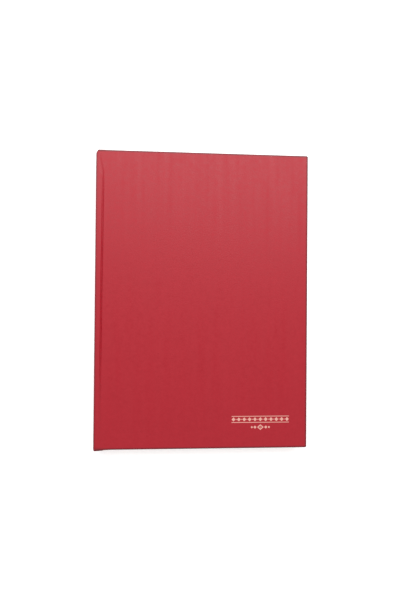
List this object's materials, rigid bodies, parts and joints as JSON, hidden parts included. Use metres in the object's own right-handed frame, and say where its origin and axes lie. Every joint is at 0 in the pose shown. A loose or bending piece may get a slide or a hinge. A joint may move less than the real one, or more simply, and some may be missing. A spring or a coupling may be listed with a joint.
{
  "type": "cash book",
  "caption": "Red hard-cover cash book with a square spine, sewn ruled sections and endpapers; the covers and leaves open on the spine.",
  "frame": {"origin": "middle of the footprint, on the surface that the closed book lies on", "axes": "+X from the spine to the fore edge, +Y from the tail to the head, +Z from the back cover to the front cover"},
  "size_m": [0.206, 0.286, 0.0182],
  "materials": {
    "cover_cloth": "satin, fine grain",
    "board": "matte",
    "endpaper": "matte",
    "ledger_paper": "matte",
    "gauze": "matte",
    "kraft_paper": "matte",
    "thread": "matte",
    "headband": "satin"
  },
  "bodies": {
    "spine": {"spine_cloth": "cover_cloth", "spine_board": "board", "spine_mull": "gauze", "spine_kraft_lining": "kraft_paper", "headband": "headband", "tailband": "headband", "sewing_stitch_1": "thread", "sewing_stitch_2": "thread", "sewing_stitch_3": "thread", "sewing_stitch_4": "thread", "sewing_stitch_5": "thread", "front_joint_cloth": "cover_cloth", "back_joint_cloth": "cover_cloth", "section_06": "ledger_paper", "section_07": "ledger_paper"},
    "front_cover": {"front_cover_cloth": "cover_cloth", "front_cover_board": "board", "front_mull_flange": "gauze", "front_pastedown": "endpaper"},
    "front_flyleaf": {"front_flyleaf": "endpaper"},
    "section_01": {"section_01": "ledger_paper"},
    "section_02": {"section_02": "ledger_paper"},
    "section_03": {"section_03": "ledger_paper"},
    "section_04": {"section_04": "ledger_paper"},
    "section_05": {"section_05": "ledger_paper"},
    "back_cover": {"back_cover_cloth": "cover_cloth", "back_cover_board": "board", "back_mull_flange": "gauze", "back_pastedown": "endpaper"},
    "back_flyleaf": {"back_flyleaf": "endpaper"},
    "section_12": {"section_12": "ledger_paper"},
    "section_11": {"section_11": "ledger_paper"},
    "section_10": {"section_10": "ledger_paper"},
    "section_09": {"section_09": "ledger_paper"},
    "section_08": {"section_08": "ledger_paper"}
  },
  "joints": [
    {"name": "front_cover_hinge", "type": "hinge", "parent": "spine", "child": "front_cover", "pos_m": [-0.10003, 0, 0.01825], "axis": [0, -1, 0], "range_deg": [0, 180], "deforming": ["front_joint_cloth"]},
    {"name": "front_flyleaf_turn", "type": "hinge", "parent": "spine", "child": "front_flyleaf", "pos_m": [-0.10003, 0, 0.01825], "axis": [0, -1, 0], "range_deg": [0, 174.6]},
    {"name": "section_01_turn", "type": "hinge", "parent": "spine", "child": "section_01", "pos_m": [-0.10003, 0, 0.01825], "axis": [0, -1, 0], "range_deg": [0, 162]},
    {"name": "section_02_turn", "type": "hinge", "parent": "spine", "child": "section_02", "pos_m": [-0.10003, 0, 0.01825], "axis": [0, -1, 0], "range_deg": [0, 144]},
    {"name": "section_03_turn", "type": "hinge", "parent": "spine", "child": "section_03", "pos_m": [-0.10003, 0, 0.01825], "axis": [0, -1, 0], "range_deg": [0, 117]},
    {"name": "section_04_turn", "type": "hinge", "parent": "spine", "child": "section_04", "pos_m": [-0.10003, 0, 0.01825], "axis": [0, -1, 0], "range_deg": [0, 81]},
    {"name": "section_05_turn", "type": "hinge", "parent": "spine", "child": "section_05", "pos_m": [-0.10003, 0, 0.01825], "axis": [0, -1, 0], "range_deg": [0, 39.6]},
    {"name": "back_cover_hinge", "type": "hinge", "parent": "spine", "child": "back_cover", "pos_m": [-0.10003, 0, 0], "axis": [0, 1, 0], "range_deg": [0, 180], "deforming": ["back_joint_cloth"]},
    {"name": "back_flyleaf_turn", "type": "hinge", "parent": "spine", "child": "back_flyleaf", "pos_m": [-0.10003, 0, 0], "axis": [0, 1, 0], "range_deg": [0, 174.6]},
    {"name": "section_12_turn", "type": "hinge", "parent": "spine", "child": "section_12", "pos_m": [-0.10003, 0, 0], "axis": [0, 1, 0], "range_deg": [0, 162]},
    {"name": "section_11_turn", "type": "hinge", "parent": "spine", "child": "section_11", "pos_m": [-0.10003, 0, 0], "axis": [0, 1, 0], "range_deg": [0, 144]},
    {"name": "section_10_turn", "type": "hinge", "parent": "spine", "child": "section_10", "pos_m": [-0.10003, 0, 0], "axis": [0, 1, 0], "range_deg": [0, 117]},
    {"name": "section_09_turn", "type": "hinge", "parent": "spine", "child": "section_09", "pos_m": [-0.10003, 0, 0], "axis": [0, 1, 0], "range_deg": [0, 81]},
    {"name": "section_08_turn", "type": "hinge", "parent": "spine", "child": "section_08", "pos_m": [-0.10003, 0, 0], "axis": [0, 1, 0], "range_deg": [0, 39.6]}
  ],
  "couplings": [
    {"joint": "front_flyleaf_turn", "follows": "front_cover_hinge", "ratio": 0.97},
    {"joint": "section_01_turn", "follows": "front_cover_hinge", "ratio": 0.9},
    {"joint": "section_02_turn", "follows": "front_cover_hinge", "ratio": 0.8},
    {"joint": "section_03_turn", "follows": "front_cover_hinge", "ratio": 0.65},
    {"joint": "section_04_turn", "follows": "front_cover_hinge", "ratio": 0.45},
    {"joint": "section_05_turn", "follows": "front_cover_hinge", "ratio": 0.22},
    {"joint": "back_flyleaf_turn", "follows": "back_cover_hinge", "ratio": 0.97},
    {"joint": "section_12_turn", "follows": "back_cover_hinge", "ratio": 0.9},
    {"joint": "section_11_turn", "follows": "back_cover_hinge", "ratio": 0.8},
    {"joint": "section_10_turn", "follows": "back_cover_hinge", "ratio": 0.65},
    {"joint": "section_09_turn", "follows": "back_cover_hinge", "ratio": 0.45},
    {"joint": "section_08_turn", "follows": "back_cover_hinge", "ratio": 0.22}
  ]
}
